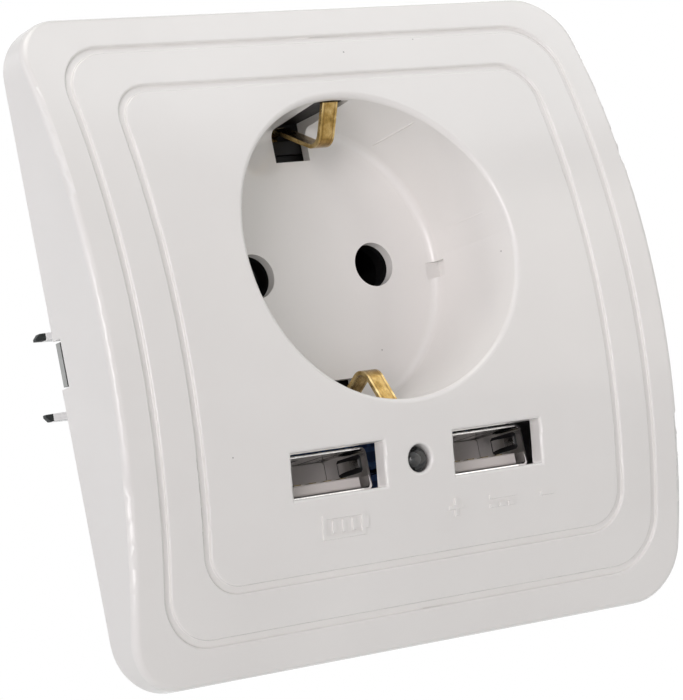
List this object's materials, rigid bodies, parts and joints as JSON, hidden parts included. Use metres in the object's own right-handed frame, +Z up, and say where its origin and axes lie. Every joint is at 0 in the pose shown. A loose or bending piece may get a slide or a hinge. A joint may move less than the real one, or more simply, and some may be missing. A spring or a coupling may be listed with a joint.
{
  "type": "usb wall socket",
  "caption": "Flush wall socket: bowed square cover with a round recessed well, side earth clips, USB charging ports below, and screw-spread claws behind a steel frame.",
  "frame": {"origin": "centre of the cover plate on the wall plane, which is the back face of the steel frame", "axes": "+X to the right as seen from the room, +Y into the wall, +Z up"},
  "size_m": [0.086, 0.0463, 0.085],
  "materials": {
    "cover_plastic": "glossy white moulded plastic",
    "frame_steel": "zinc-plated sheet steel",
    "base_plastic": "off-white moulded plastic, fine matt grain",
    "brass": "bare stamped brass",
    "claw_steel": "bright zinc-plated steel, darkened teeth",
    "screw_steel": "zinc-plated steel",
    "port_steel": "nickel-plated folded sheet",
    "port_plastic": "off-white moulded plastic",
    "gilt_contact": "gilt contact strips",
    "lamp_clear": "clear cast epoxy lamp",
    "board_laminate": "green lacquered circuit board",
    "ferrite": "dark core with taped winding",
    "capacitor_sleeve": "shrunk plastic sleeve",
    "chip_epoxy": "black moulded epoxy",
    "wire_insulation": "smooth wire insulation"
  },
  "bodies": {
    "base": {"bridge_rectifier": "chip_epoxy", "control_chip": "chip_epoxy", "earth_clamp": "screw_steel", "earth_shield": "base_plastic", "earth_strap": "brass", "earth_terminal": "brass", "earth_terminal_screw": "screw_steel", "frame_screws": "screw_steel", "input_capacitor": "capacitor_sleeve", "line_clamp": "screw_steel", "line_contact": "brass", "line_lead": "wire_insulation", "line_terminal_screw": "screw_steel", "mounting_frame": "frame_steel", "neutral_clamp": "screw_steel", "neutral_contact": "brass", "neutral_lead": "wire_insulation", "neutral_terminal_screw": "screw_steel", "output_capacitor": "capacitor_sleeve", "pilot_lamp": "lamp_clear", "rear_cover": "base_plastic", "rear_cover_screws": "screw_steel", "socket_base": "base_plastic", "transformer": "ferrite", "usb_board": "board_laminate", "usb_pins_left": "gilt_contact", "usb_pins_right": "gilt_contact", "usb_shell_left": "port_steel", "usb_shell_right": "port_steel", "usb_tongue_left": "port_plastic", "usb_tongue_right": "port_plastic"},
    "cover": {"cover_plate": "cover_plastic"},
    "left_claw": {"claw_left": "claw_steel"},
    "right_claw": {"claw_right": "claw_steel"},
    "left_claw_screw": {"claw_screw_left": "screw_steel"},
    "right_claw_screw": {"claw_screw_right": "screw_steel"}
  },
  "joints": [
    {"name": "cover_pull", "type": "slide", "parent": "base", "child": "cover", "axis": [0, -1, 0], "range_m": [0, 0.03]},
    {"name": "left_screw_turn", "type": "hinge", "parent": "base", "child": "left_claw_screw", "pos_m": [-0.0242, 0, 0.0018], "axis": [0, 1, 0], "range_deg": [-678.6, 1017.9]},
    {"name": "right_screw_turn", "type": "hinge", "parent": "base", "child": "right_claw_screw", "pos_m": [0.0242, 0, 0.0018], "axis": [0, 1, 0], "range_deg": [-678.6, 1017.9]},
    {"name": "left_claw_swing", "type": "hinge", "parent": "base", "child": "left_claw", "pos_m": [-0.0197, 0.0095, 0.0018], "axis": [0, 0, 1], "range_deg": [-12.05, 18.05]},
    {"name": "right_claw_swing", "type": "hinge", "parent": "base", "child": "right_claw", "pos_m": [0.0197, 0.0095, 0.0018], "axis": [0, 0, -1], "range_deg": [-12.05, 18.05]}
  ],
  "couplings": [
    {"joint": "left_claw_swing", "follows": "left_screw_turn", "ratio": 0.017684},
    {"joint": "right_claw_swing", "follows": "right_screw_turn", "ratio": 0.017684}
  ]
}
